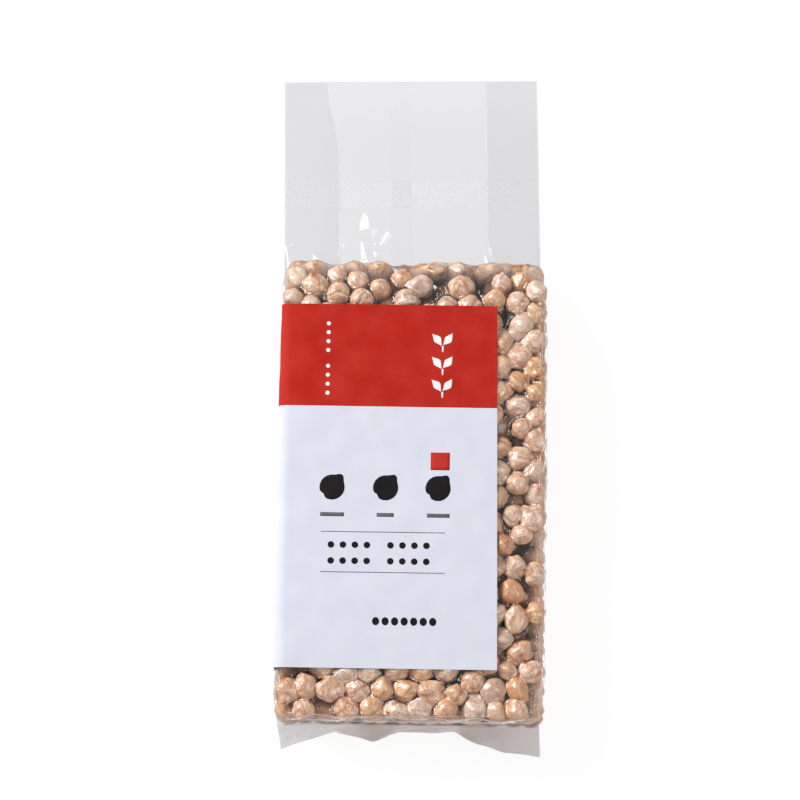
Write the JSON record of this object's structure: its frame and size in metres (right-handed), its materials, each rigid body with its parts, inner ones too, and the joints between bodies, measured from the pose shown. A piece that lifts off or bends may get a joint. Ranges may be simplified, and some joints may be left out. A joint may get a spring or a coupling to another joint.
{
  "type": "bag of chickpeas",
  "caption": "Vacuum-packed brick of dried chickpeas in clear side-gusset film, with a flat unfilled film end and a printed paper label wrapped round one side",
  "frame": {"origin": "on the surface the pack lies on, below the middle of its bounding box", "axes": "+Z out of the labelled front, which faces up as the pack lies on its back; +Y towards the flat open end of the film; +X to the right as one looks at the front"},
  "size_m": [0.104, 0.2682, 0.04],
  "materials": {
    "peas_in_film": "tan chickpeas under clear glossy film drawn tight",
    "label_paper": "matt coated paper, red top band over a pale field"
  },
  "bodies": {
    "root": {"filled_bag": "peas_in_film", "label": "label_paper"}
  },
  "joints": []
}
